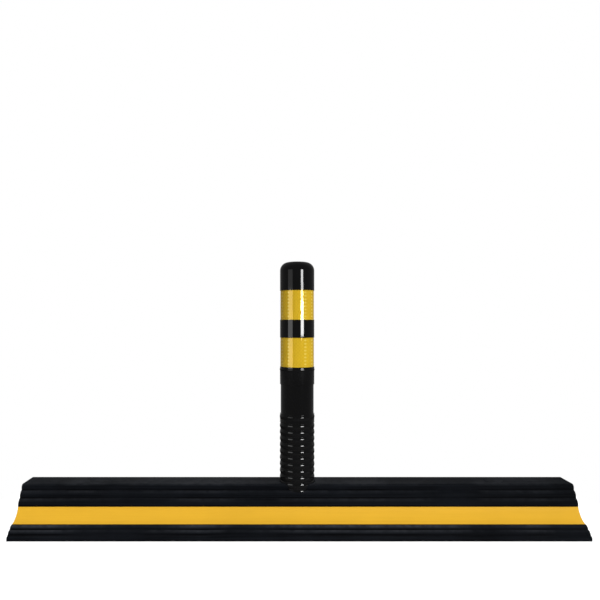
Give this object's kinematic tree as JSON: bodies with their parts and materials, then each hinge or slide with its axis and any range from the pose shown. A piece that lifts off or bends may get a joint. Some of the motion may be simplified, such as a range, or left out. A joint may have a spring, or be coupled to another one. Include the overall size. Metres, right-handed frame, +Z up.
{
  "type": "flexible lane divider",
  "caption": "Rubber road strip with a yellow side stripe and a ribbed flexible marker post with reflective bands that bends over and springs back.",
  "frame": {"origin": "on the road surface under the post, at the middle of the strip's length and width", "axes": "+X along the strip, +Y across it to the rear, +Z up along the post"},
  "size_m": [1, 0.18, 0.4862],
  "materials": {
    "strip_rubber": "moulded, satin",
    "stripe_yellow": "smooth satin",
    "post_black": "glossy flexible moulding",
    "band_gold": "prismatic reflective sheet",
    "zinc_steel": "zinc plated",
    "insert_brass": "turned"
  },
  "bodies": {
    "base": {"base_strip": "strip_rubber", "front_stripe": "stripe_yellow", "rear_stripe": "stripe_yellow", "anchor_sleeves": "zinc_steel", "anchor_caps": "strip_rubber", "clamp_plate": "zinc_steel", "clamp_screws": "zinc_steel", "screw_inserts": "insert_brass", "post_root": "post_black"},
    "rib_1": {"flex_rib_1": "post_black"},
    "rib_2": {"flex_rib_2": "post_black"},
    "rib_3": {"flex_rib_3": "post_black"},
    "rib_4": {"flex_rib_4": "post_black"},
    "rib_5": {"flex_rib_5": "post_black"},
    "rib_6": {"flex_rib_6": "post_black"},
    "rib_7": {"flex_rib_7": "post_black"},
    "rib_8": {"flex_rib_8": "post_black"},
    "rib_9": {"flex_rib_9": "post_black"},
    "post": {"post_shaft": "post_black", "upper_band": "band_gold", "lower_band": "band_gold"}
  },
  "joints": [
    {"name": "bend_across", "type": "hinge", "parent": "base", "child": "rib_1", "pos_m": [0, 0, 0.083], "axis": [1, 0, 0], "range_deg": [-15, 15], "stiffness_Nm_per_rad": 80, "deforming": ["flex_rib_1"]},
    {"name": "bend_along", "type": "hinge", "parent": "rib_1", "child": "rib_2", "pos_m": [0, 0, 0.0948], "axis": [0, 1, 0], "range_deg": [-15, 15], "stiffness_Nm_per_rad": 80, "deforming": ["flex_rib_2"]},
    {"name": "bend_across_2", "type": "hinge", "parent": "rib_2", "child": "rib_3", "pos_m": [0, 0, 0.1066], "axis": [1, 0, 0], "range_deg": [-15, 15], "stiffness_Nm_per_rad": 80, "deforming": ["flex_rib_3"]},
    {"name": "bend_along_2", "type": "hinge", "parent": "rib_3", "child": "rib_4", "pos_m": [0, 0, 0.1184], "axis": [0, 1, 0], "range_deg": [-15, 15], "stiffness_Nm_per_rad": 80, "deforming": ["flex_rib_4"]},
    {"name": "bend_across_3", "type": "hinge", "parent": "rib_4", "child": "rib_5", "pos_m": [0, 0, 0.1302], "axis": [1, 0, 0], "range_deg": [-15, 15], "stiffness_Nm_per_rad": 80, "deforming": ["flex_rib_5"]},
    {"name": "bend_along_3", "type": "hinge", "parent": "rib_5", "child": "rib_6", "pos_m": [0, 0, 0.142], "axis": [0, 1, 0], "range_deg": [-15, 15], "stiffness_Nm_per_rad": 80, "deforming": ["flex_rib_6"]},
    {"name": "bend_across_4", "type": "hinge", "parent": "rib_6", "child": "rib_7", "pos_m": [0, 0, 0.1538], "axis": [1, 0, 0], "range_deg": [-15, 15], "stiffness_Nm_per_rad": 80, "deforming": ["flex_rib_7"]},
    {"name": "bend_along_4", "type": "hinge", "parent": "rib_7", "child": "rib_8", "pos_m": [0, 0, 0.1656], "axis": [0, 1, 0], "range_deg": [-15, 15], "stiffness_Nm_per_rad": 80, "deforming": ["flex_rib_8"]},
    {"name": "bend_across_5", "type": "hinge", "parent": "rib_8", "child": "rib_9", "pos_m": [0, 0, 0.1774], "axis": [1, 0, 0], "range_deg": [-15, 15], "stiffness_Nm_per_rad": 80, "deforming": ["flex_rib_9"]},
    {"name": "bend_along_5", "type": "hinge", "parent": "rib_9", "child": "post", "pos_m": [0, 0, 0.1892], "axis": [0, 1, 0], "range_deg": [-15, 15], "stiffness_Nm_per_rad": 80}
  ],
  "couplings": [
    {"joint": "bend_across_2", "follows": "bend_across", "ratio": 1},
    {"joint": "bend_along_2", "follows": "bend_along", "ratio": 1},
    {"joint": "bend_across_3", "follows": "bend_across", "ratio": 1},
    {"joint": "bend_along_3", "follows": "bend_along", "ratio": 1},
    {"joint": "bend_across_4", "follows": "bend_across", "ratio": 1},
    {"joint": "bend_along_4", "follows": "bend_along", "ratio": 1},
    {"joint": "bend_across_5", "follows": "bend_across", "ratio": 1},
    {"joint": "bend_along_5", "follows": "bend_along", "ratio": 1}
  ]
}
